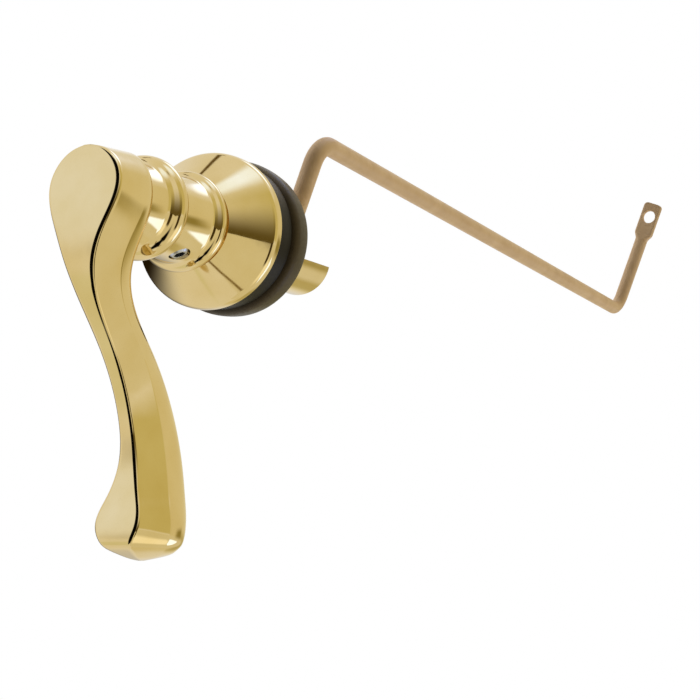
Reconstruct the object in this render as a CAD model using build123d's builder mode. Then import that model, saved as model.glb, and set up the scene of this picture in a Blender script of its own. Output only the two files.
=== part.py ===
import os
from math import cos, radians, sin, sqrt, tan

from build123d import *

# Sizes in millimetres. The cistern's wall face is y = 0, +Y runs into the cistern, +Z is up
# and the lever turns about the Y axis. The lever hangs straight down at rest.

# Bent rod: spindle, first leg, long run and last leg with a flattened, drilled end
rod_d = 4.76
rod_end_gap = 0.6
leg_lean = 21.0
leg_set = 36.8
leg_height = 30.1
run_length = 283.0
run_droop = 1.72
hole_height = 38.2
bend_r = 5.6
eye_w = 7.3
eye_t = 2.3
eye_start = 9.6
eye_end = 5.4
eye_corner_r = 1.4
eye_neck = 3.0
eye_hole_d = 5.0

# Clearances
run_clear = 0.05
fit_clear = 0.15
face_gap = 0.4

# Gasket between the bell and the cistern's wall
gasket_depth = 14.2
gasket_front_step = 1.3
gasket_back_step = 0.5
gasket_lip_y = 3.0
gasket_spigot = 2.0
spigot_gap = 1.2

# Bell flange with its shank and half-round stop
bell_r = 18.5
bell_depth = 11.2
bell_face_r = 10.5
band_drop = 0.9
band_depth = 3.3
band_edge_r = 1.2
rim_edge = 0.35
bell_wall = 2.4
bell_front_wall = 4.0
shank_r = 8.8
shank_wall = 1.6
shank_length = 29.0
stop_length = 18.3
stop_turn = 14.0
guide_length = 6.0

# Nut and washer that clamp the wall
wall_gap = 7.0
washer_r = 12.0
washer_t = 1.0
nut_af = 21.0
nut_t = 4.0
nut_turn = 0.0
nut_chamfer = 0.8
nut_chamfer_angle = 30.0

# Bush that carries the rod at the shank's inner end
bush_length = 12.0
bush_set_in = 0.5
bush_edge = 0.6

# Turned hub of the lever: two beads on one stem. Each runs through a cove down to a crease, and
# the neck before it flares up to that crease.
hub_bore_depth = 20.6
collar_r = 9.8
collar_length = 1.4
bead_r = 11.6
bead_slope = 50.0
rear_round = 2.0
rear_swell = 1.6
rear_cove = 1.1
rear_neck = 13.1
rear_flare = 1.0
front_round = 3.0
front_swell = 2.25
front_cove = 1.75
stem_length = 10.6
stem_flare = 0.8

# Set screw in the rear neck
screw_d = 4.6
screw_y = -9.4
screw_turn = 21.0
screw_rise = 0.4
flat_depth = 0.5
flat_length = 7.0
socket_af = 2.4
socket_depth = 2.4
screw_point = 0.6

# Lever: each row is the height, the front face's reach ahead of the hub's rear face, half the
# front face's width, half the greatest width, the flank's depth and the whole depth.
head_rake = 5.0
lever_rows = [
    (9.6, 42.7, 1.0, 0.95, 11.2, 14.8),
    (9.2, 42.7, 2.8, 2.6, 11.2, 15.0),
    (8.2, 42.8, 4.9, 4.65, 11.2, 15.1),
    (6.0, 42.9, 7.05, 7.05, 11.2, 15.2),
    (2.0, 43.3, 8.4, 8.9, 11.2, 15.2),
    (-3.0, 44.3, 7.75, 9.1, 10.9, 15.1),
    (-8.5, 45.3, 5.6, 7.3, 10.3, 14.7),
    (-15.0, 45.2, 3.55, 5.55, 9.45, 14.1),
    (-23.0, 41.1, 2.1, 4.45, 8.6, 13.6),
    (-33.0, 33.2, 1.6, 4.55, 8.3, 13.7),
    (-45.0, 26.7, 1.45, 5.0, 8.5, 14.4),
    (-55.0, 25.05, 1.95, 5.85, 9.0, 15.3),
    (-63.0, 26.95, 3.7, 7.6, 9.5, 16.1),
    (-69.5, 29.3, 4.85, 9.0, 9.6, 16.6),
    (-73.0, 29.75, 3.6, 8.5, 9.6, 16.8),
    (-75.0, 28.6, 1.6, 6.5, 9.2, 15.8),
    (-76.2, 25.0, 0.7, 2.6, 5.8, 10.2),
]

# Values that follow from the sizes
rod_r = rod_d / 2
run_r = rod_r + run_clear
rim_y = -gasket_depth
bell_front_y = rim_y - bell_depth
hub_rear_y = bell_front_y - face_gap
tube_r = shank_r - shank_wall
shank_end_y = rim_y + shank_length
leg_y = rim_y + leg_set
stop_cut = 2 * shank_r
guide_end_y = bell_front_y + guide_length
band_r = bell_r - band_drop
gasket_front_r = bell_r - gasket_front_step
gasket_back_r = bell_r - gasket_back_step
gasket_spigot_r = bell_r - bell_wall - spigot_gap
screw_seat_r = rod_r - flat_depth
rear_neck_r = bead_r - rear_swell - rear_flare
screw_at_y = hub_rear_y + screw_y
rod_front_y = hub_rear_y - hub_bore_depth + rod_end_gap
screw_out = Vector(sin(radians(screw_turn)), 0, -cos(radians(screw_turn)))
leg_dir = Vector(sin(radians(leg_lean)), 0, cos(radians(leg_lean)))
arm_plane = Plane(
    origin=(0, 0, 0),
    x_dir=(0, 1, 0),
    z_dir=(cos(radians(leg_lean)), 0, -sin(radians(leg_lean))),
)
run_end_y = leg_y + run_length * cos(radians(run_droop))
run_end_h = leg_height - run_length * sin(radians(run_droop))
hole_h = run_end_h + hole_height

os.makedirs("parts", exist_ok=True)


def lever_section(height, reach, front_half, back_half, flank, depth):
    """One cut through the lever: flat front, straight flanks and a rounded back."""
    rake = radians(head_rake * max(height, 0) / lever_rows[0][0])
    cut = Plane(
        origin=(0, hub_rear_y - reach, height),
        x_dir=(1, 0, 0),
        z_dir=(0, -sin(rake), cos(rake)),
    )
    spread = back_half - front_half
    with BuildSketch(cut) as section:
        with BuildLine():
            Polyline(
                (-back_half, flank),
                (-front_half, 0),
                (front_half, 0),
                (back_half, flank),
            )
            Spline(
                (back_half, flank),
                (0, depth),
                (-back_half, flank),
                tangents=[(spread, flank), (spread, -flank)],
            )
        make_face()
    return section.sketch.face()


def bead_line(back_y, round_r, swell, cove, neck, flare):
    """Outline of a bead, its cove and the neck before it; gives the back edge's and the neck's end."""
    slope = radians(bead_slope)
    edge_r = bead_r - round_r * (1 - cos(slope))
    crest_y = back_y - round_r * sin(slope)
    cove_y = 2 * crest_y - back_y
    crease = (bead_r - swell, cove_y - cove)
    neck_end = (crease[0] - flare, crease[1] - neck)
    ThreePointArc((edge_r, back_y), (bead_r, crest_y), (edge_r, cove_y))
    TangentArc((edge_r, cove_y), crease, tangent=(-sin(slope), -cos(slope)))
    TangentArc(neck_end, crease, tangent=(0, 1))
    return (edge_r, back_y), neck_end


# Lever and hub: the S-curved lever is one loft, the hub is turned about Y
with BuildPart() as lever_handle:
    loft([lever_section(*row) for row in lever_rows])
    with BuildSketch(Plane.XY):
        with BuildLine():
            rear_edge, rear_end = bead_line(
                hub_rear_y - collar_length, rear_round, rear_swell, rear_cove, rear_neck, rear_flare
            )
            front_edge, stem_end = bead_line(
                rear_end[1], front_round, front_swell, front_cove, stem_length, stem_flare
            )
            Polyline(
                stem_end,
                (0, stem_end[1]),
                (0, hub_rear_y),
                (collar_r, hub_rear_y),
                (collar_r, rear_edge[1]),
                rear_edge,
            )
            Line(rear_end, front_edge)
        make_face()
    revolve(axis=Axis.Y)
    with BuildSketch(Plane(origin=(0, hub_rear_y, 0), z_dir=(0, -1, 0))):
        Circle(run_r)
    extrude(amount=hub_bore_depth, mode=Mode.SUBTRACT)
    with BuildSketch(Plane(origin=(0, screw_at_y, 0), z_dir=screw_out)):
        Circle(screw_d / 2)
    extrude(amount=bead_r, mode=Mode.SUBTRACT)
lever_handle.part.label = "lever_handle"
export_step(lever_handle.part, "parts/lever_handle.step")

# Set screw: its cupped point stands on the rod's flat
screw_plane = Plane(
    origin=Vector(0, screw_at_y, 0) + screw_out * screw_seat_r,
    x_dir=(0, 1, 0),
    z_dir=screw_out,
)
screw_length = rear_neck_r + screw_rise - screw_seat_r
with BuildPart() as set_screw:
    with BuildSketch(screw_plane):
        Circle(screw_d / 2)
    extrude(amount=screw_length)
    chamfer(set_screw.edges().filter_by(GeomType.CIRCLE), screw_point)
    with BuildSketch(screw_plane.offset(screw_length)):
        RegularPolygon(socket_af / 2, 6, major_radius=False)
    extrude(amount=-socket_depth, mode=Mode.SUBTRACT)
set_screw.part.label = "set_screw"
export_step(set_screw.part, "parts/set_screw.step")

# Bell flange: bell, tubular shank and, past the shank's end, the lower half of the tube as a stop
stop_plane = Plane(
    origin=(0, shank_end_y, 0),
    x_dir=(cos(radians(stop_turn)), 0, -sin(radians(stop_turn))),
    z_dir=(0, 1, 0),
)
with BuildPart() as bell_flange:
    with BuildSketch(Plane.XY) as bell_outline:
        with BuildLine():
            Polyline(
                (run_r, bell_front_y),
                (bell_face_r, bell_front_y),
                (band_r, rim_y - band_depth),
                (bell_r, rim_y - rim_edge),
                (bell_r - rim_edge, rim_y),
                (bell_r - bell_wall, rim_y),
                (band_r - bell_wall, rim_y - band_depth),
                (bell_face_r, bell_front_y + bell_front_wall),
                (shank_r, bell_front_y + bell_front_wall),
                (shank_r, shank_end_y),
                (tube_r, shank_end_y),
                (tube_r, guide_end_y),
                (run_r, guide_end_y),
                close=True,
            )
        make_face()
        band_corner = Vector(band_r, rim_y - band_depth, 0)
        fillet(bell_outline.vertices().sort_by_distance(band_corner)[0], band_edge_r)
    revolve(axis=Axis.Y)
    with BuildSketch(stop_plane):
        Circle(shank_r)
        Circle(tube_r, mode=Mode.SUBTRACT)
        Rectangle(
            2 * stop_cut,
            stop_cut,
            align=(Align.CENTER, Align.MAX),
            mode=Mode.SUBTRACT,
        )
    extrude(amount=stop_length)
bell_flange.part.label = "bell_flange"
export_step(bell_flange.part, "parts/bell_flange.step")

# Gasket: a spigot keys into the bell, the outside swells towards the wall
with BuildPart() as gasket:
    with BuildSketch(Plane.XY):
        with BuildLine():
            Polyline(
                (gasket_back_r, 0),
                (shank_r + fit_clear, 0),
                (shank_r + fit_clear, rim_y - gasket_spigot),
                (gasket_spigot_r, rim_y - gasket_spigot),
                (gasket_spigot_r, rim_y),
                (gasket_front_r, rim_y),
            )
            ThreePointArc(
                (gasket_front_r, rim_y),
                (bell_r, -gasket_lip_y),
                (gasket_back_r, 0),
            )
        make_face()
    revolve(axis=Axis.Y)
gasket.part.label = "gasket"
export_step(gasket.part, "parts/gasket.step")

# Clamp washer
with BuildPart() as clamp_washer:
    with BuildSketch(Plane(origin=(0, wall_gap, 0), z_dir=(0, 1, 0))):
        Circle(washer_r)
        Circle(shank_r + fit_clear, mode=Mode.SUBTRACT)
    extrude(amount=washer_t)
clamp_washer.part.label = "clamp_washer"
export_step(clamp_washer.part, "parts/clamp_washer.step")

# Lock nut: hexagon with its outer corners turned back
nut_y = wall_gap + washer_t
nut_plane = Plane(origin=(0, nut_y, 0), z_dir=(0, 1, 0))
nut_corner_r = nut_af / sqrt(3)
with BuildPart() as lock_nut:
    with BuildSketch(nut_plane):
        RegularPolygon(nut_af / 2, 6, major_radius=False, rotation=nut_turn)
    extrude(amount=nut_t)
    with BuildSketch(Plane.XY):
        with BuildLine():
            Polyline(
                (0, nut_y),
                (nut_corner_r, nut_y),
                (nut_corner_r, nut_y + nut_t - nut_chamfer),
                (nut_corner_r - nut_chamfer / tan(radians(nut_chamfer_angle)), nut_y + nut_t),
                (0, nut_y + nut_t),
                close=True,
            )
        make_face()
    revolve(axis=Axis.Y, mode=Mode.INTERSECT)
    with BuildSketch(nut_plane):
        Circle(shank_r + run_clear)
    extrude(amount=nut_t, mode=Mode.SUBTRACT)
lock_nut.part.label = "lock_nut"
export_step(lock_nut.part, "parts/lock_nut.step")

# Spindle bush: pressed into the shank's inner end
with BuildPart() as spindle_bush:
    with BuildSketch(Plane(origin=(0, shank_end_y - bush_set_in, 0), z_dir=(0, -1, 0))):
        Circle(tube_r)
    extrude(amount=bush_length)
    chamfer(spindle_bush.edges().filter_by(GeomType.CIRCLE), bush_edge)
    with BuildSketch(Plane(origin=(0, shank_end_y - bush_set_in, 0), z_dir=(0, -1, 0))):
        Circle(run_r)
    extrude(amount=bush_length, mode=Mode.SUBTRACT)
spindle_bush.part.label = "spindle_bush"
export_step(spindle_bush.part, "parts/spindle_bush.step")

# Lift arm: one round rod bent in one plane, its end flattened to an eye
eye_base_h = hole_h - eye_start
with BuildPart() as lift_arm:
    with BuildLine(arm_plane) as path:
        FilletPolyline(
            (rod_front_y, 0),
            (leg_y, 0),
            (leg_y, leg_height),
            (run_end_y, run_end_h),
            (run_end_y, eye_base_h),
            radius=bend_r,
        )
    with BuildSketch(Plane(origin=(0, rod_front_y, 0), z_dir=(0, 1, 0))):
        Circle(rod_r)
    sweep(path=path.line)
    eye_base = Plane(
        origin=Vector(0, run_end_y, 0) + leg_dir * eye_base_h,
        x_dir=(cos(radians(leg_lean)), 0, -sin(radians(leg_lean))),
        z_dir=leg_dir,
    )
    with BuildSketch(eye_base):
        Circle(rod_r)
    with BuildSketch(eye_base.offset(eye_neck)):
        Ellipse(eye_w / 2, eye_t / 2)
    loft()
    eye_face = Plane(
        origin=Vector(0, run_end_y, 0) + leg_dir * hole_h,
        x_dir=eye_base.x_dir,
        z_dir=(0, -1, 0),
    )
    with BuildSketch(eye_face) as eye_outline:
        with Locations((0, eye_end)):
            Rectangle(eye_w, eye_end + eye_start - eye_neck, align=(Align.CENTER, Align.MAX))
        fillet(eye_outline.vertices().group_by(Axis.Y)[-1], eye_corner_r)
    extrude(amount=eye_t / 2, both=True)
    with BuildSketch(eye_face):
        Circle(eye_hole_d / 2)
    extrude(amount=eye_w, both=True, mode=Mode.SUBTRACT)
    with BuildSketch(screw_plane):
        Rectangle(flat_length, rod_d)
    extrude(amount=rod_d, mode=Mode.SUBTRACT)
lift_arm.part.label = "lift_arm"
export_step(lift_arm.part, "parts/lift_arm.step")
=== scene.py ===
import math

import bpy
import numpy as np
from mathutils import Matrix, Vector


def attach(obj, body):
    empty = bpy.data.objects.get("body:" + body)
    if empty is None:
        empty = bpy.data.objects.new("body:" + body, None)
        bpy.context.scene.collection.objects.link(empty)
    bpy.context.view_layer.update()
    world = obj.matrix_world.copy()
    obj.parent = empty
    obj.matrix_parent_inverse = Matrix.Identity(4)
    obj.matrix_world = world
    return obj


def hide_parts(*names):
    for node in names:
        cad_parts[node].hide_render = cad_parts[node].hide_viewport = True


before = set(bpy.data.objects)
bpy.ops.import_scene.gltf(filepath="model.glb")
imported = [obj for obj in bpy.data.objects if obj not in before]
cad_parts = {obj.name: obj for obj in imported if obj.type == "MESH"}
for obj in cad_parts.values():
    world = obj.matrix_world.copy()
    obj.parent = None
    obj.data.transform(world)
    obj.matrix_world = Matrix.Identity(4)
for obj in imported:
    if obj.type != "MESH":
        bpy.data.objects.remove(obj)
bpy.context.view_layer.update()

# Lever: the S-curved handle, a flat teardrop front with drafted flanks and a rounded back.
# It is cast in brass in one piece with the hub, then polished and lacquered.
MM = 0.001
hub_rear_y = -25.8
head_rake = math.radians(5.0)
row_step = 0.8
weld_gap = 0.001 * MM
crease_angle = math.radians(30)
# A level cut has a flat front, an edge rounded by up to a share of the front's half width, a straight flank,
# and a back curve that leads on from the flank. The shares and parts space its points.
front_edge_r = 1.0
front_edge_most = 0.5
front_shares = (0.0, 0.3, 0.6, 0.85, 0.97)
corner_parts = 5
flank_shares = (0.0, 0.04, 0.2, 0.4, 0.6, 0.8, 0.97)
back_parts = 14
back_start = 0.02
back_lead = 0.7
back_fill = 0.9
# Height, reach of the front ahead of the hub's rear, half widths at front and back, flank depth, depth,
# and the share of the flank's lean that the back keeps past the shoulder
lever_rows = [
    (9.6, 42.7, 1.0, 0.95, 11.2, 14.8, 0.6),
    (9.2, 42.7, 2.8, 2.6, 11.2, 15.0, 0.6),
    (8.2, 42.8, 4.9, 4.65, 11.2, 15.2, 0.6),
    (6.0, 43.05, 7.1, 7.05, 11.1, 15.4, 0.6),
    (2.0, 43.7, 8.65, 8.9, 10.8, 15.8, 0.5),
    (-3.0, 44.7, 8.0, 8.95, 10.3, 16.3, 0.2),
    (-8.5, 45.7, 5.85, 7.4, 9.5, 16.6, -0.1),
    (-15.0, 45.5, 3.7, 5.46, 8.3, 15.7, -0.3),
    (-23.0, 41.5, 2.25, 4.24, 7.3, 14.9, -0.3),
    (-33.0, 33.4, 1.7, 4.29, 7.3, 15.9, -0.3),
    (-45.0, 26.9, 1.55, 4.52, 7.1, 16.3, 0.5),
    (-55.0, 25.2, 2.05, 5.22, 7.2, 17.4, 0.6),
    (-63.0, 27.2, 3.9, 7.17, 7.6, 18.1, 0.6),
    (-69.5, 29.6, 5.0, 8.55, 7.9, 18.6, 0.6),
    (-73.0, 29.3, 3.4, 7.69, 7.8, 17.5, 0.6),
    (-74.0, 27.6, 2.7, 6.66, 7.2, 15.2, 0.6),
    (-75.0, 24.7, 1.8, 4.8, 6.0, 11.7, 0.6),
    (-75.8, 21.8, 1.0, 2.2, 3.0, 5.7, 0.6),
    (-76.2, 19.4, 0.4, 0.48, 0.8, 1.3, 0.6),
]


def smooth_rows(rows, step):
    """Rows a step apart on the natural cubic spline through the given rows."""
    points = np.array(rows)
    spans = np.linalg.norm(np.diff(points[:, :3], axis=0), axis=1)
    places = np.concatenate([[0.0], np.cumsum(spans)])
    count = len(points)
    system = np.eye(count)
    wanted = np.zeros_like(points)
    for i in range(1, count - 1):
        system[i, i - 1:i + 2] = spans[i - 1], 2 * (spans[i - 1] + spans[i]), spans[i]
        rise = (points[i + 1] - points[i]) / spans[i] - (points[i] - points[i - 1]) / spans[i - 1]
        wanted[i] = 6 * rise
    bends = np.linalg.solve(system, wanted)
    result = []
    for place in np.linspace(0, places[-1], round(places[-1] / step) + 1):
        i = min(max(int(np.searchsorted(places, place)) - 1, 0), count - 2)
        after, before = place - places[i], places[i + 1] - place
        cubic = (bends[i] * before ** 3 + bends[i + 1] * after ** 3) / (6 * spans[i])
        start = (points[i] / spans[i] - bends[i] * spans[i] / 6) * before
        end = (points[i + 1] / spans[i] - bends[i + 1] * spans[i] / 6) * after
        result.append((cubic + start + end).tolist())
    return result


def lever_half(front_half, back_half, flank, depth, keep):
    """Half of a cut through the lever, from the front's middle round to the back's middle."""
    along = Vector((back_half - front_half, flank)).normalized()
    edge_r = min(front_edge_r, front_edge_most * front_half)
    turn = math.atan2(along.y, along.x)
    cut_in = edge_r * math.tan(turn / 2)
    flat = front_half - cut_in
    points = [Vector((flat * share, 0)) for share in front_shares]
    centre = Vector((flat, edge_r))
    for i in range(corner_parts):
        angle = turn * i / corner_parts - math.pi / 2
        points.append(centre + edge_r * Vector((math.cos(angle), math.sin(angle))))
    flank_start = Vector((front_half, 0)) + along * cut_in
    flank_end = Vector((back_half, flank))
    points += [flank_start.lerp(flank_end, share) for share in flank_shares]
    lean = keep * math.atan2(along.x, along.y)
    lead = flank_end + back_lead * (depth - flank) * Vector((math.sin(lean), math.cos(lean)))
    last, middle = Vector((back_fill * back_half, depth)), Vector((0, depth))
    for s in [0.0, back_start] + [i / back_parts for i in range(1, back_parts + 1)]:
        shares = (1 - s) ** 3, 3 * s * (1 - s) ** 2, 3 * s ** 2 * (1 - s), s ** 3
        points.append(shares[0] * flank_end + shares[1] * lead + shares[2] * last + shares[3] * middle)
    return points


def activate(piece):
    """Selects one object alone and makes it the active one."""
    bpy.ops.object.select_all(action="DESELECT")
    piece.select_set(True)
    bpy.context.view_layer.objects.active = piece


def tidy_mesh(piece):
    """Merges doubles, closes open ends, turns the faces outwards and smooths all but the creases."""
    activate(piece)
    bpy.ops.object.mode_set(mode="EDIT")
    bpy.ops.mesh.select_all(action="SELECT")
    bpy.ops.mesh.remove_doubles(threshold=weld_gap)
    bpy.ops.mesh.select_all(action="DESELECT")
    bpy.ops.mesh.select_mode(type="EDGE")
    bpy.ops.mesh.select_non_manifold(extend=False, use_wire=False, use_multi_face=False,
                                     use_non_contiguous=False, use_verts=False)
    bpy.ops.mesh.edge_face_add()
    bpy.ops.mesh.select_all(action="SELECT")
    bpy.ops.mesh.normals_make_consistent(inside=False)
    bpy.ops.object.mode_set(mode="OBJECT")
    bpy.ops.object.shade_smooth_by_angle(angle=crease_angle)


cuts = []
for height, reach, *section in smooth_rows(lever_rows, row_step):
    half = lever_half(*section)
    ring = half + [Vector((-p.x, p.y)) for p in half[-2:0:-1]]
    rake = head_rake * max(height, 0) / lever_rows[0][0]
    cuts.append([
        MM * Vector((p.x, hub_rear_y - reach + p.y * math.cos(rake), height + p.y * math.sin(rake)))
        for p in ring
    ])
bpy.ops.object.select_all(action="DESELECT")
bpy.ops.mesh.primitive_grid_add(x_subdivisions=len(cuts[0]), y_subdivisions=len(cuts) - 1)
lever = bpy.context.object
lever.name = "cast_lever"
lever_points = [point for ring in cuts for point in ring + ring[:1]]
for vertex, point in zip(lever.data.vertices, lever_points):
    vertex.co = point
tidy_mesh(lever)

# Buffed and lacquered brass: sharp reflections that waver over the casting's 6 mm unevenness of 0.01 mm,
# with patches of finer polish and a slightly deeper tone where the lacquer lies thicker
brass_thin_lacquer = "#DCC692"
brass_thick_lacquer = "#D6BE84"
lacquer_patch = 9.0
polish_patch = 1.2
polish_roughness = (0.045, 0.085)
casting_wave = 6.0
casting_wave_depth = 0.010
casting_wave_detail = 1.0
# Noise seldom leaves this range, so it is stretched from there to a pattern's own limits
noise_low = 0.3
noise_high = 0.7
# A Mix node's sockets share their names, so the ones for colours go by number
mix_share, mix_first, mix_second, mix_result = 0, 6, 7, 2


def linear(hex_colour):
    """The linear RGBA colour of an sRGB hex value."""
    channels = [int(hex_colour[i:i + 2], 16) / 255 for i in (1, 3, 5)]
    curve = [c / 12.92 if c <= 0.04045 else ((c + 0.055) / 1.055) ** 2.4 for c in channels]
    return (*curve, 1.0)


def add_node(tree, kind, links=None, **settings):
    """Adds one node, sets its properties and sockets, and links its inputs."""
    node = tree.nodes.new(kind)
    for name, value in settings.items():
        setattr(node, name, value)
    for socket, source in (links or {}).items():
        if isinstance(source, bpy.types.NodeSocket):
            tree.links.new(source, node.inputs[socket])
        else:
            node.inputs[socket].default_value = source
    return node


def new_material(name):
    """An empty node material, its node tree and its output node."""
    material = bpy.data.materials.new(name)
    material.use_nodes = True
    material.node_tree.nodes.clear()
    output = add_node(material.node_tree, "ShaderNodeOutputMaterial")
    return material, material.node_tree, output


def grain(tree, size, low=0.0, high=1.0, detail=4.0):
    """A cloudy value between two limits, with spots of a size in mm."""
    where = add_node(tree, "ShaderNodeTexCoord")
    noise = add_node(tree, "ShaderNodeTexNoise", {
        "Vector": where.outputs["Object"],
        "Scale": 1 / (size * MM),
        "Detail": detail,
    })
    spread = add_node(tree, "ShaderNodeMapRange", {
        "Value": noise.outputs["Fac"],
        "From Min": noise_low,
        "From Max": noise_high,
        "To Min": low,
        "To Max": high,
    })
    return spread.outputs["Result"]


def dress(piece, material):
    """Gives a piece one material all over."""
    piece.data.materials.clear()
    piece.data.materials.append(material)


brass, tree, output = new_material("polished_brass")
lacquer = add_node(tree, "ShaderNodeMix", {
    mix_share: grain(tree, lacquer_patch),
    mix_first: linear(brass_thin_lacquer),
    mix_second: linear(brass_thick_lacquer),
}, data_type="RGBA")
unevenness = add_node(tree, "ShaderNodeBump", {
    "Height": grain(tree, casting_wave, detail=casting_wave_detail),
    "Distance": casting_wave_depth * MM,
})
shader = add_node(tree, "ShaderNodeBsdfPrincipled", {
    "Base Color": lacquer.outputs[mix_result],
    "Metallic": 1.0,
    "Roughness": grain(tree, polish_patch, *polish_roughness),
    "Normal": unevenness.outputs["Normal"],
})
tree.links.new(shader.outputs["BSDF"], output.inputs["Surface"])
dress(lever, brass)
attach(lever, "lever")
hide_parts("lever_handle")

# Hub: two beads on one stem, turned on the same casting. Each bead runs through a cove down to a crease.
# It is bored for the rod and drilled for the set screw.
turn_steps = 192
rod_r = 2.38
run_clear = 0.05
bore_depth = 20.6
collar_r = 9.8
collar_length = 1.4
bead_r = 11.6
bead_slope = math.radians(50.0)
rear_round = 2.0
rear_swell = 1.6
rear_cove = 1.1
rear_neck = 13.1
rear_flare = 1.0
front_round = 3.0
front_swell = 2.25
front_cove = 1.75
stem_length = 10.6
stem_flare = 0.8
bead_parts = 14
cove_parts = 10
neck_parts = 16
screw_y = -35.2
screw_turn = math.radians(21)
screw_hole_r = 2.5
screw_hole_length = 12.0
hole_sides = 48


def tangent_arc(start, end, way, parts):
    """Points on the arc that leaves the start in the given direction and meets the end."""
    a, b = Vector(start), Vector(end)
    side = Vector((-way[1], way[0])).normalized()
    radius = (b - a).length_squared / (2 * (b - a).dot(side))
    centre = a + side * radius
    first = math.atan2(*(a - centre).yx)
    sweep = math.remainder(math.atan2(*(b - centre).yx) - first, math.tau)
    angles = [first + sweep * i / parts for i in range(parts + 1)]
    return [centre + abs(radius) * Vector((math.cos(t), math.sin(t))) for t in angles]


def turned(name, profile, sweep=math.tau, steps=turn_steps):
    """A closed profile of (radius, y) points in mm, turned about the Y axis."""
    bpy.ops.object.select_all(action="DESELECT")
    bpy.ops.mesh.primitive_circle_add(vertices=len(profile), fill_type="NOTHING")
    piece = bpy.context.object
    piece.name = name
    for vertex, (radius, y) in zip(piece.data.vertices, profile):
        vertex.co = (radius * MM, y * MM, 0)
    bpy.ops.object.mode_set(mode="EDIT")
    bpy.ops.mesh.select_all(action="SELECT")
    bpy.ops.mesh.spin(steps=steps, angle=sweep, center=(0, 0, 0), axis=(0, 1, 0))
    bpy.ops.object.mode_set(mode="OBJECT")
    return piece


def bead(back_y, round_r, swell, cove, neck, flare):
    """Profile of a bead from its back edge, over its crest and down its cove, and of the neck before it."""
    rise, run = math.sin(bead_slope), math.cos(bead_slope)
    edge_r = bead_r - round_r * (1 - run)
    cove_y = back_y - 2 * round_r * rise
    crease = (bead_r - swell, cove_y - cove)
    neck_end = (crease[0] - flare, crease[1] - neck)
    points = tangent_arc((edge_r, back_y), (edge_r, cove_y), (rise, -run), bead_parts)
    points += tangent_arc((edge_r, cove_y), crease, (-rise, -run), cove_parts)[1:]
    points += tangent_arc(neck_end, crease, (0, 1), neck_parts)[-2::-1]
    return points


def drill(piece, place, way, radius, length):
    """Cuts a round hole into a piece, centred on a place in mm, along a direction."""
    bpy.ops.object.select_all(action="DESELECT")
    bpy.ops.mesh.primitive_cylinder_add(vertices=hole_sides, radius=radius * MM, depth=length * MM)
    drill_bit = bpy.context.object
    drill_bit.location = Vector(place) * MM
    drill_bit.rotation_euler = way.to_track_quat("Z", "Y").to_euler()
    bpy.ops.object.transform_apply(location=True, rotation=True, scale=True)
    activate(piece)
    cut = piece.modifiers.new("hole", "BOOLEAN")
    cut.object = drill_bit
    cut.operation = "DIFFERENCE"
    cut.solver = "EXACT"
    bpy.ops.object.modifier_apply(modifier=cut.name)
    bpy.data.objects.remove(drill_bit)


hub_profile = [
    Vector((rod_r + run_clear, hub_rear_y)),
    Vector((collar_r, hub_rear_y)),
    Vector((collar_r, hub_rear_y - collar_length)),
]
hub_profile += bead(hub_rear_y - collar_length, rear_round, rear_swell, rear_cove, rear_neck, rear_flare)
hub_profile += bead(hub_profile[-1].y, front_round, front_swell, front_cove, stem_length, stem_flare)
hub_profile += [
    Vector((0, hub_profile[-1].y)),
    Vector((0, hub_rear_y - bore_depth)),
    Vector((rod_r + run_clear, hub_rear_y - bore_depth)),
]
hub = turned("turned_hub", hub_profile)
tidy_mesh(hub)
screw_way = Vector((math.sin(screw_turn), 0, -math.cos(screw_turn)))
screw_place = Vector((0, screw_y, 0)) + screw_way * (rod_r + screw_hole_length / 2)
drill(hub, screw_place, screw_way, screw_hole_r, screw_hole_length)
tidy_mesh(hub)
dress(hub, brass)
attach(hub, "lever")

# Bell flange: bell, tubular shank and half-round stop, turned from one brass casting.
# The bell is polished, and the shank carries a rolled thread for the nut.
rim_y = -14.2
bell_front_y = -25.4
bell_r = 18.5
bell_face_r = 10.5
band_drop = 0.15
band_depth = 2.5
band_edge_r = 2.8
rim_edge_r = 0.35
bell_wall = 2.4
bell_front_wall = 4.0
shank_r = 8.8
tube_r = 7.2
shank_end_y = 14.8
thread_depth = 0.65
thread_root_r = shank_r - thread_depth
thread_pitch = 1.5
thread_half = 0.45 * thread_pitch
crest_half = 0.08 * thread_pitch
thread_sink = 0.1
thread_start_y = -1.5
thread_turns = 10
guide_length = 6.0
stop_length = 18.3
stop_root = 0.5
stop_turn = math.radians(14)
edge_parts = 8


def rounded(before, corner, after, radius):
    """Points of the arc that rounds one corner of a profile."""
    a, c, b = Vector(before), Vector(corner), Vector(after)
    into, out = (c - a).normalized(), (b - c).normalized()
    cut = radius * math.tan(into.angle(out) / 2)
    return tangent_arc(c - into * cut, c + out * cut, into, edge_parts)


cone_start = (bell_face_r, bell_front_y)
band_front = (bell_r - band_drop, rim_y - band_depth)
rim_inside = (bell_r - bell_wall, rim_y)
bell_profile = [Vector((rod_r + run_clear, bell_front_y)), Vector(cone_start)]
bell_profile += rounded(cone_start, band_front, (bell_r, rim_y), band_edge_r)
bell_profile += rounded(band_front, (bell_r, rim_y), rim_inside, rim_edge_r)
bell_profile += [
    Vector(rim_inside),
    Vector((bell_r - band_drop - bell_wall, rim_y - band_depth)),
    Vector((bell_face_r, bell_front_y + bell_front_wall)),
    Vector((shank_r, bell_front_y + bell_front_wall)),
    Vector((shank_r, thread_start_y)),
    Vector((thread_root_r, thread_start_y + thread_depth)),
    Vector((thread_root_r, shank_end_y)),
    Vector((tube_r, shank_end_y)),
    Vector((tube_r, bell_front_y + guide_length)),
    Vector((rod_r + run_clear, bell_front_y + guide_length)),
]
bell = turned("bell_and_shank", bell_profile)
tidy_mesh(bell)
dress(bell, brass)
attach(bell, "flange")
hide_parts("bell_flange")

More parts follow.
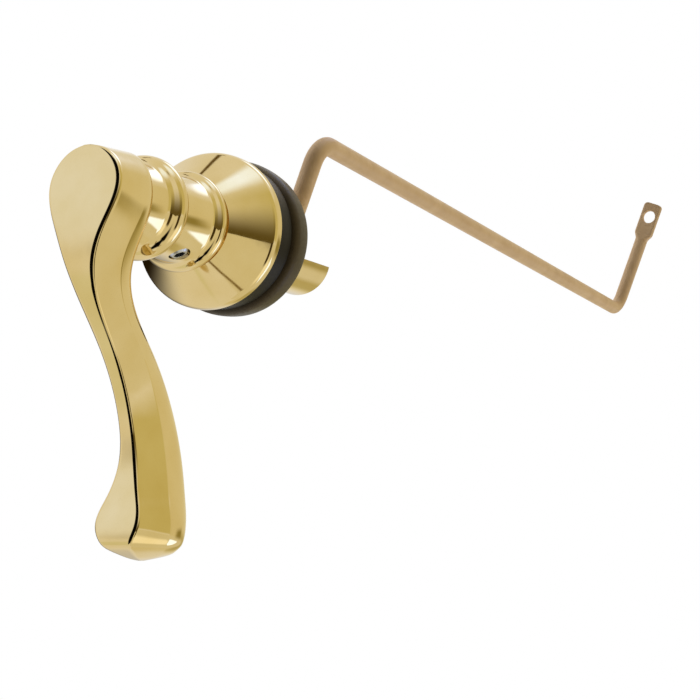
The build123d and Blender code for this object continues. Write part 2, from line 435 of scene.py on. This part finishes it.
# The thread is one ridge with a flat crest, which is wound round the shank's root and sunk into it a little
thread_profile = [
    (thread_root_r - thread_sink, -thread_half),
    (shank_r, -crest_half),
    (shank_r, crest_half),
    (thread_root_r - thread_sink, thread_half),
]
bpy.ops.object.select_all(action="DESELECT")
bpy.ops.mesh.primitive_circle_add(vertices=len(thread_profile), fill_type="NOTHING")
thread = bpy.context.object
thread.name = "shank_thread"
for vertex, (radius, y) in zip(thread.data.vertices, thread_profile):
    vertex.co = (radius * MM, (thread_start_y + thread_pitch + y) * MM, 0)
ridge = thread.modifiers.new("ridge", "SCREW")
ridge.axis = "Y"
ridge.angle = math.tau
ridge.screw_offset = thread_pitch * MM
ridge.iterations = thread_turns
ridge.steps = ridge.render_steps = turn_steps // 2
bpy.ops.object.modifier_apply(modifier=ridge.name)
tidy_mesh(thread)
dress(thread, brass)
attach(thread, "flange")

# The stop goes on from the shank's end as half a tube, whose edges the arm's first leg meets
stop_profile = [
    Vector((thread_root_r, shank_end_y - stop_root)),
    Vector((thread_root_r, shank_end_y)),
    Vector((shank_r, shank_end_y)),
    Vector((shank_r, shank_end_y + stop_length)),
    Vector((tube_r, shank_end_y + stop_length)),
    Vector((tube_r, shank_end_y - stop_root)),
]
stop = turned("half_round_stop", stop_profile, -math.pi, turn_steps // 2)
stop.rotation_euler = (0, stop_turn, 0)
bpy.ops.object.transform_apply(location=True, rotation=True, scale=True)
tidy_mesh(stop)
dress(stop, brass)
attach(stop, "flange")

# Gasket: a thick ring moulded in black rubber, held between the bell's rim and the cistern's wall.
# Its outside steps out from a neck and swells to a soft lip at the wall.
gasket_front_r = 17.2
gasket_front_flare = 0.08
gasket_neck_r = 17.5
gasket_step_y = -7.4
gasket_crest_r = 18.64
gasket_crest_y = -4.6
gasket_back_r = 18.25
gasket_bore_r = 8.95
spigot_r = 14.9
spigot_y = -16.2
lip_edge_r = 0.5
lip_edge_rows = 3
swell_parts = 16
gasket_crest = (gasket_crest_r, gasket_crest_y)
gasket_step = (gasket_neck_r, gasket_step_y)
front_way = (gasket_front_flare, 1)
gasket_profile = [
    Vector((gasket_bore_r, 0)),
    Vector((gasket_bore_r, spigot_y)),
    Vector((spigot_r, spigot_y)),
    Vector((spigot_r, rim_y)),
]
gasket_profile += tangent_arc((gasket_front_r, rim_y), gasket_step, front_way, swell_parts)[:-1]
gasket_profile += tangent_arc(gasket_crest, gasket_step, (0, -1), swell_parts)[::-1]
back_swell = tangent_arc(gasket_crest, (gasket_back_r, 0), (0, 1), swell_parts)
gasket_profile += back_swell[1:-lip_edge_rows]
gasket_profile += rounded(back_swell[-lip_edge_rows], (gasket_back_r, 0), (gasket_bore_r, 0), lip_edge_r)
gasket = turned("gasket_ring", gasket_profile)
tidy_mesh(gasket)

# Moulded black rubber: a broad soft shine over 0.5 mm mould grain. Its lip is painted brown from just before
# the step, as painted light and reflection of the warm room, so the neck by the bell's rim stays black as
# painted shade. A paler painted highlight lies where the ring faces up.
rubber_black = "#0A0A0B"
# Painted light: the lip's brown stands for the lip lit and reflecting the warm room, and the neck's black by
# the bell's rim is painted shade
rubber_painted_lit_lip = "#4B3F2A"
rubber_painted_top_highlight = "#7C6E4E"
painted_lip_light_start = -0.4
painted_lip_light_end = 1.6
painted_lip_light_share = 0.45
top_highlight_start = 0.25
top_highlight_end = 0.85
top_highlight_over_lip_light = 2.2
painted_light_patch = 2.5
painted_light_least = 0.8
rubber_patch = 0.8
rubber_roughness = (0.36, 0.44)
rubber_shine = 0.18
rubber_shine_tint = "#E2C490"
mould_grain = 0.5
mould_grain_depth = 0.006
rubber, tree, output = new_material("moulded_rubber")
where = add_node(tree, "ShaderNodeTexCoord")
along_axis = add_node(tree, "ShaderNodeSeparateXYZ", {0: where.outputs["Object"]})
lip = add_node(tree, "ShaderNodeMapRange", {
    "Value": along_axis.outputs["Y"],
    "From Min": (gasket_step_y + painted_lip_light_start) * MM,
    "From Max": (gasket_step_y + painted_lip_light_end) * MM,
})
# Painted highlight: the ring is painted paler where it faces up, where the roof light falls on it
surface = add_node(tree, "ShaderNodeNewGeometry")
facing = add_node(tree, "ShaderNodeSeparateXYZ", {0: surface.outputs["Normal"]})
painted_top_highlight = add_node(tree, "ShaderNodeMapRange", {
    "Value": facing.outputs["Z"],
    "From Min": top_highlight_start,
    "From Max": top_highlight_end,
    "To Max": top_highlight_over_lip_light,
}, clamp=True)
either = add_node(tree, "ShaderNodeMath", {0: lip.outputs["Result"], 1: painted_top_highlight.outputs["Result"]},
                  operation="MAXIMUM")
patchy = add_node(tree, "ShaderNodeMath", {0: either.outputs[0], 1: grain(tree, painted_light_patch, painted_light_least)},
                  operation="MULTIPLY")
painted_light = add_node(tree, "ShaderNodeMath", {0: patchy.outputs[0], 1: painted_lip_light_share}, operation="MULTIPLY")
ramp = add_node(tree, "ShaderNodeValToRGB", {0: painted_light.outputs[0]})
ramp.color_ramp.elements[0].color = linear(rubber_black)
ramp.color_ramp.elements[1].color = linear(rubber_painted_top_highlight)
painted_lit_lip_stop = ramp.color_ramp.elements.new(painted_lip_light_share)
painted_lit_lip_stop.color = linear(rubber_painted_lit_lip)
mould_marks = add_node(tree, "ShaderNodeBump", {
    "Height": grain(tree, mould_grain),
    "Distance": mould_grain_depth * MM,
})
shader = add_node(tree, "ShaderNodeBsdfPrincipled", {
    "Base Color": ramp.outputs["Color"],
    "Roughness": grain(tree, rubber_patch, *rubber_roughness),
    "Specular IOR Level": rubber_shine,
    "Specular Tint": linear(rubber_shine_tint),
    "Normal": mould_marks.outputs["Normal"],
})
tree.links.new(shader.outputs["BSDF"], output.inputs["Surface"])
dress(gasket, rubber)
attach(gasket, "flange")
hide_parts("gasket")

# Lift arm: one brass rod, drawn to size and bent cold in one plane: spindle, leg, run and leg.
# Its end is pressed flat and drilled for the chain. The set screw holds it in the hub.
rod_sides = 40
rod_front_y = -45.8
leg_y = 22.6
leg_height = 30.1
leg_lean = math.radians(21)
run_length = 283.0
run_droop = math.radians(1.72)
hole_height = 38.2
bend_r = 5.6
bend_steps = 14
eye_w = 7.3
eye_t = 2.3
eye_start = 9.6
eye_end = 5.4
eye_neck = 3.0
eye_corner_r = 1.4
eye_hole_r = 2.5
eye_rows = 6
run_way = Vector((math.cos(run_droop), -math.sin(run_droop)))
run_end = Vector((leg_y, leg_height)) + run_length * run_way
hole_z = run_end.y + hole_height
eye_base_z = hole_z - eye_start
eye_length = eye_start + eye_end
run_turn = math.pi / 2 + run_droop
run_cut = bend_r * math.tan(run_turn / 2)


def extrude_ring(y, z):
    """Draws the selected ring out along a straight run, in mm."""
    bpy.ops.mesh.extrude_region_move(TRANSFORM_OT_translate={"value": (0, y * MM, z * MM)})


def bend_ring(y, z, turn):
    """Takes the selected ring round a bend about a centre in mm, from +Y towards +Z."""
    bpy.ops.mesh.spin(steps=bend_steps, angle=-turn, center=(0, y * MM, z * MM), axis=(1, 0, 0))


bpy.ops.object.select_all(action="DESELECT")
bpy.ops.mesh.primitive_circle_add(vertices=rod_sides, radius=rod_r * MM, fill_type="NOTHING",
                                  location=(0, rod_front_y * MM, 0), rotation=(math.pi / 2, 0, 0))
rod = bpy.context.object
rod.name = "bent_rod"
bpy.ops.object.transform_apply(location=True, rotation=True, scale=True)
bpy.ops.object.mode_set(mode="EDIT")
bpy.ops.mesh.select_all(action="SELECT")
extrude_ring(leg_y - bend_r - rod_front_y, 0)
bend_ring(leg_y - bend_r, bend_r, math.pi / 2)
extrude_ring(0, leg_height - run_cut - bend_r)
bend_ring(leg_y + bend_r, leg_height - run_cut, -run_turn)
extrude_ring(*((run_length - 2 * run_cut) * run_way))
last_bend = run_end - run_cut * run_way + bend_r * Vector((-run_way.y, run_way.x))
bend_ring(*last_bend, run_turn)
extrude_ring(0, eye_base_z - run_end.y - run_cut)
for _ in range(eye_rows):
    extrude_ring(0, eye_neck / eye_rows)
extrude_ring(0, eye_length - eye_neck - eye_corner_r)
for _ in range(eye_rows):
    extrude_ring(0, eye_corner_r / eye_rows)
bpy.ops.object.mode_set(mode="OBJECT")

# The end is pressed between flat dies: it spreads sideways, and its corners are ground round
for vertex in rod.data.vertices:
    x, y, z = vertex.co / MM - Vector((0, run_end.x, eye_base_z))
    if z > 0 and abs(y) < eye_w:
        pressed = min(z / eye_neck, 1.0)
        ease = pressed * pressed * (3 - 2 * pressed)
        half_w = rod_r + (eye_w / 2 - rod_r) * ease
        half_t = rod_r + (eye_t / 2 - rod_r) * pressed
        corner = max(eye_corner_r - (eye_length - z), 0.0)
        half_w -= eye_corner_r - math.sqrt(max(eye_corner_r ** 2 - corner ** 2, 0.0))
        x *= half_w / rod_r
        y = max(min(y, half_t), -half_t)
        vertex.co = Vector((x, y + run_end.x, z + eye_base_z)) * MM
tidy_mesh(rod)
drill(rod, (0, run_end.x, hole_z), Vector((0, 1, 0)), eye_hole_r, eye_w)
activate(rod)
rod.rotation_euler = (0, leg_lean, 0)
bpy.ops.object.transform_apply(location=True, rotation=True, scale=True)
tidy_mesh(rod)

# Tumbled, unlacquered brass: a dull even sheen from 0.3 mm grain, with brown tarnish in 7 mm clouds.
# The tarnish film hides most of the metal's own reflection, so little of it is metallic.
rod_fresh = "#E0BC8C"
rod_tarnished = "#D2AC7C"
tarnish_patch = 7.0
bare_metal = 0.12
rod_patch = 1.0
rod_roughness = (0.44, 0.56)
tumbled_grain = 0.3
tumbled_grain_depth = 0.004
satin, tree, output = new_material("tumbled_brass_rod")
tarnish = add_node(tree, "ShaderNodeMix", {
    mix_share: grain(tree, tarnish_patch),
    mix_first: linear(rod_fresh),
    mix_second: linear(rod_tarnished),
}, data_type="RGBA")
dents = add_node(tree, "ShaderNodeBump", {
    "Height": grain(tree, tumbled_grain),
    "Distance": tumbled_grain_depth * MM,
})
shader = add_node(tree, "ShaderNodeBsdfPrincipled", {
    "Base Color": tarnish.outputs[mix_result],
    "Metallic": bare_metal,
    "Roughness": grain(tree, rod_patch, *rod_roughness),
    "Normal": dents.outputs["Normal"],
})
tree.links.new(shader.outputs["BSDF"], output.inputs["Surface"])
dress(rod, satin)
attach(rod, "lever")
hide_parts("lift_arm")

# Set screw: a socket grub screw of plain steel in the hub, its point on a flat of the rod.
# It is kept as the solid. Ground steel is grey, with a shine that 0.2 mm grit marks blur.
steel_bright = "#C4C7CE"
steel_dull = "#A2A4AA"
steel_patch = 1.5
grind_patch = 0.4
grind_roughness = (0.24, 0.36)
grit_size = 0.2
grit_depth = 0.002
steel, tree, output = new_material("ground_steel")
steel_tone = add_node(tree, "ShaderNodeMix", {
    mix_share: grain(tree, steel_patch),
    mix_first: linear(steel_bright),
    mix_second: linear(steel_dull),
}, data_type="RGBA")
grit_marks = add_node(tree, "ShaderNodeBump", {
    "Height": grain(tree, grit_size),
    "Distance": grit_depth * MM,
})
shader = add_node(tree, "ShaderNodeBsdfPrincipled", {
    "Base Color": steel_tone.outputs[mix_result],
    "Metallic": 1.0,
    "Roughness": grain(tree, grind_patch, *grind_roughness),
    "Normal": grit_marks.outputs["Normal"],
})
tree.links.new(shader.outputs["BSDF"], output.inputs["Surface"])
dress(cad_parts["set_screw"], steel)

# Lock nut and clamp washer: turned from brass bar, they clamp the shank in the cistern's wall.
# They are kept as the solids. The tool leaves rings 0.25 mm apart, which streak the shine.
bar_bright = "#CDAF6E"
bar_dull = "#B99A5B"
bar_patch = 5.0
cut_patch = 1.0
cut_roughness = (0.22, 0.34)
ring_pitch = 0.25
ring_depth = 0.003
ring_waver = 0.6
ring_detail = 2.0
# A wave texture at scale 1 repeats every tau / 20
wave_turns = 20.0
turned_finish, tree, output = new_material("lathe_turned_brass")
where = add_node(tree, "ShaderNodeTexCoord")
rings = add_node(tree, "ShaderNodeTexWave", {
    "Vector": where.outputs["Object"],
    "Scale": math.tau / (wave_turns * ring_pitch * MM),
    "Distortion": ring_waver,
    "Detail": ring_detail,
}, wave_type="RINGS", rings_direction="Y")
bar_tone = add_node(tree, "ShaderNodeMix", {
    mix_share: grain(tree, bar_patch),
    mix_first: linear(bar_bright),
    mix_second: linear(bar_dull),
}, data_type="RGBA")
tool_marks = add_node(tree, "ShaderNodeBump", {
    "Height": rings.outputs["Fac"],
    "Distance": ring_depth * MM,
})
shader = add_node(tree, "ShaderNodeBsdfPrincipled", {
    "Base Color": bar_tone.outputs[mix_result],
    "Metallic": 1.0,
    "Roughness": grain(tree, cut_patch, *cut_roughness),
    "Normal": tool_marks.outputs["Normal"],
})
tree.links.new(shader.outputs["BSDF"], output.inputs["Surface"])
dress(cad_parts["lock_nut"], turned_finish)
dress(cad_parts["clamp_washer"], turned_finish)

# Spindle bush: a nylon ring pressed into the shank's end, in which the rod turns.
# It is kept as the solid. Moulded nylon is milky, lets a little light in and is half dull.
nylon_pale = "#E8E4D8"
nylon_yellowed = "#DCD6C6"
nylon_patch = 3.0
nylon_sheen_patch = 0.8
nylon_roughness = (0.40, 0.52)
nylon_milkiness = 0.15
nylon_light_depth = 0.5
nylon_grain = 0.4
nylon_grain_depth = 0.004
nylon, tree, output = new_material("moulded_nylon")
nylon_tone = add_node(tree, "ShaderNodeMix", {
    mix_share: grain(tree, nylon_patch),
    mix_first: linear(nylon_pale),
    mix_second: linear(nylon_yellowed),
}, data_type="RGBA")
mould_texture = add_node(tree, "ShaderNodeBump", {
    "Height": grain(tree, nylon_grain),
    "Distance": nylon_grain_depth * MM,
})
shader = add_node(tree, "ShaderNodeBsdfPrincipled", {
    "Base Color": nylon_tone.outputs[mix_result],
    "Roughness": grain(tree, nylon_sheen_patch, *nylon_roughness),
    "Subsurface Weight": nylon_milkiness,
    "Subsurface Scale": nylon_light_depth * MM,
    "Normal": mould_texture.outputs["Normal"],
})
tree.links.new(shader.outputs["BSDF"], output.inputs["Surface"])
dress(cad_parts["spindle_bush"], nylon)

# Studio: a table with a sheet of white paper in a white tent. The tent is open to a dark room
# on the camera's side, and large lamps shine through its roof and back.
# The paper takes the object's shadow, and it glows a little where it is seen, so that it is nearly white.
floor_height = -0.25
floor_size = 1.6
floor_turn = math.radians(24)
floor_lead = 0.22
paper_white = "#F8F8F8"
paper_glow = 0.6
white = (1, 1, 1, 1)
bpy.ops.object.select_all(action="DESELECT")
bpy.ops.mesh.primitive_plane_add(size=floor_size)
floor = bpy.context.object
floor.name = "floor"
back_way = Matrix.Rotation(floor_turn, 3, "Z") @ Vector((0, 1, 0))
floor.location = back_way * (floor_size / 2 - floor_lead) + Vector((0, 0, floor_height))
floor.rotation_euler = (0, 0, floor_turn)
bpy.ops.object.transform_apply(location=True, rotation=True, scale=True)
paper, tree, output = new_material("white_paper")
shader = add_node(tree, "ShaderNodeBsdfDiffuse", {"Color": linear(paper_white)})
glow = add_node(tree, "ShaderNodeEmission", {"Color": white, "Strength": 1.0})
rays = add_node(tree, "ShaderNodeLightPath")
seen = add_node(tree, "ShaderNodeMath", {
    0: rays.outputs["Is Camera Ray"],
    1: rays.outputs["Is Glossy Ray"],
}, operation="MAXIMUM")
share = add_node(tree, "ShaderNodeMath", {0: seen.outputs[0], 1: paper_glow}, operation="MULTIPLY")
mix = add_node(tree, "ShaderNodeMixShader", {0: share.outputs[0], 1: shader.outputs[0], 2: glow.outputs[0]})
tree.links.new(mix.outputs[0], output.inputs["Surface"])
dress(floor, paper)
# Reflections show the tent's own table in its place
floor.visible_glossy = False

# Each window of the tent in degrees: azimuth from the front towards +X with its half width and soft edge,
# lowest and highest elevation with their soft edges, colour and strength. Later ones lie over earlier ones.
tent_colour = "#FCFBF8"
tent_windows = {
    "front_above": (-38, 26, 10, 32, 60, 40, 10, "#E2E9FC", 1.36),
    "front_below": (-38, 26, 10, -72, -38, 5, 18, "#F1F1DC", 1.0),
    "back_wall": (160, 34, 12, -60, 28, 10, 8, "#EFE8C8", 1.0),
    "back_low": (165, 24, 10, -34, -10, 10, 10, "#CDC28C", 1.0),
    "back_post": (146, 3, 11, -14, -4, 12, 9, "#A4985C", 1.0),
    "right_wall": (96, 20, 12, -5, 42, 6, 22, "#E0D8A2", 1.0),
    "right_shade": (70, 20, 6, -60, -8, 1, 46, "#6A5D32", 1.0),
    "left_shade": (-122, 12, 26, -3, 4, 46, 8, "#231A08", 1.0),
    "table": (84, 41, 12, -91, -11.5, 1, 1, "#F1EDD8", 1.0),
    "table_back": (146, 21, 12, -91, -18, 1, 10, "#F1EDD8", 1.0),
    "table_bright": (106, 10, 14, -50, -36, 16, 12, "#FFFDF4", 1.3),
    "table_shadow": (80, 8, 4, -32, -11, 8, 1, "#4A3C18", 1.0),
    "low_light": (138, 9, 4, -42, -23, 6, 4, "#BFD0FF", 3.0),
    "room_behind_camera": (10, 34, 9, -53, 60, 7, 8, "#0A0702", 1.0),
    "room_floor": (0, 32, 8, -66, -48, 6, 6, "#0A0702", 1.0),
    "roof_light": (100, 30, 20, 69, 76, 15, 9, "#BFD0FF", 2.5),
    "back_light": (172, 12, 10, 40, 52, 6, 8, "#BFD0FF", 3.4),
    "roof_seam": (-125, 14, 4, 66, 68, 2, 2, "#6E5A2C", 1.0),
    "table_seam": (43, 12, 4, -70, -69, 1.5, 1.5, "#8A7440", 1.0),
}
world = bpy.data.worlds.new("white_tent")
bpy.context.scene.world = world
world.use_nodes = True
tree = world.node_tree
tree.nodes.clear()
output = add_node(tree, "ShaderNodeOutputWorld")
rays = add_node(tree, "ShaderNodeLightPath")
where = add_node(tree, "ShaderNodeTexCoord")
way = add_node(tree, "ShaderNodeSeparateXYZ", {0: where.outputs["Generated"]})
ahead = add_node(tree, "ShaderNodeMath", {0: way.outputs["Y"], 1: -1.0}, operation="MULTIPLY")
azimuth = add_node(tree, "ShaderNodeMath", {0: way.outputs["X"], 1: ahead.outputs[0]}, operation="ARCTAN2")
elevation = add_node(tree, "ShaderNodeMath", {0: way.outputs["Z"]}, operation="ARCSINE")
shown = linear(tent_colour)
for middle, half, soft, low, high, low_soft, high_soft, colour, strength in tent_windows.values():
    aside = add_node(tree, "ShaderNodeMath", {0: azimuth.outputs[0], 1: math.radians(middle)},
                     operation="SUBTRACT")
    turned_to = add_node(tree, "ShaderNodeMath", {0: aside.outputs[0], 1: math.pi, 2: -math.pi},
                         operation="WRAP")
    off = add_node(tree, "ShaderNodeMath", {0: turned_to.outputs[0]}, operation="ABSOLUTE")
    soft_edges = [
        (off, half + soft, half),
        (elevation, low - low_soft, low),
        (elevation, high + high_soft, high),
    ]
    across, above_bottom, below_top = [
        add_node(tree, "ShaderNodeMapRange", {
            "Value": angle.outputs[0],
            "From Min": math.radians(outside),
            "From Max": math.radians(inside),
        }, interpolation_type="SMOOTHSTEP")
        for angle, outside, inside in soft_edges
    ]
    upright = add_node(tree, "ShaderNodeMath", {0: above_bottom.outputs[0], 1: below_top.outputs[0]},
                       operation="MULTIPLY")
    cover = add_node(tree, "ShaderNodeMath", {0: upright.outputs[0], 1: across.outputs[0]},
                     operation="MULTIPLY")
    window = add_node(tree, "ShaderNodeMix", {
        mix_share: cover.outputs[0],
        mix_first: shown,
        mix_second: [strength * c for c in linear(colour)[:3]] + [1.0],
    }, data_type="RGBA")
    shown = window.outputs[mix_result]
seen = add_node(tree, "ShaderNodeMix", {
    mix_share: rays.outputs["Is Camera Ray"],
    mix_first: shown,
    mix_second: white,
}, data_type="RGBA")
back = add_node(tree, "ShaderNodeBackground", {"Color": seen.outputs[mix_result], "Strength": 1.0})
tree.links.new(back.outputs[0], output.inputs["Surface"])

# Camera: the photograph's view, from the front right and a little below.
# Its place, direction and lens were fitted to the spindle's axis, the flange's circles and the rod's bends.
camera_place = Vector((0.20072, -0.3859, -0.07434))
camera_forward = Vector((-0.4039, 0.9082, 0.1099)).normalized()
camera_data = bpy.data.cameras.new("camera")
camera_data.sensor_width = 36.0
camera_data.lens = 93.96
camera_data.clip_start = 0.01
camera_data.clip_end = 20.0
camera = bpy.data.objects.new("camera", camera_data)
bpy.context.scene.collection.objects.link(camera)
camera_right = camera_forward.cross(Vector((0, 0, 1))).normalized()
camera_up = camera_right.cross(camera_forward)
camera_turn = Matrix((camera_right, camera_up, -camera_forward)).transposed()
camera.matrix_world = Matrix.Translation(camera_place) @ camera_turn.to_4x4()
bpy.context.scene.camera = camera
bpy.context.scene.view_settings.view_transform = "Standard"
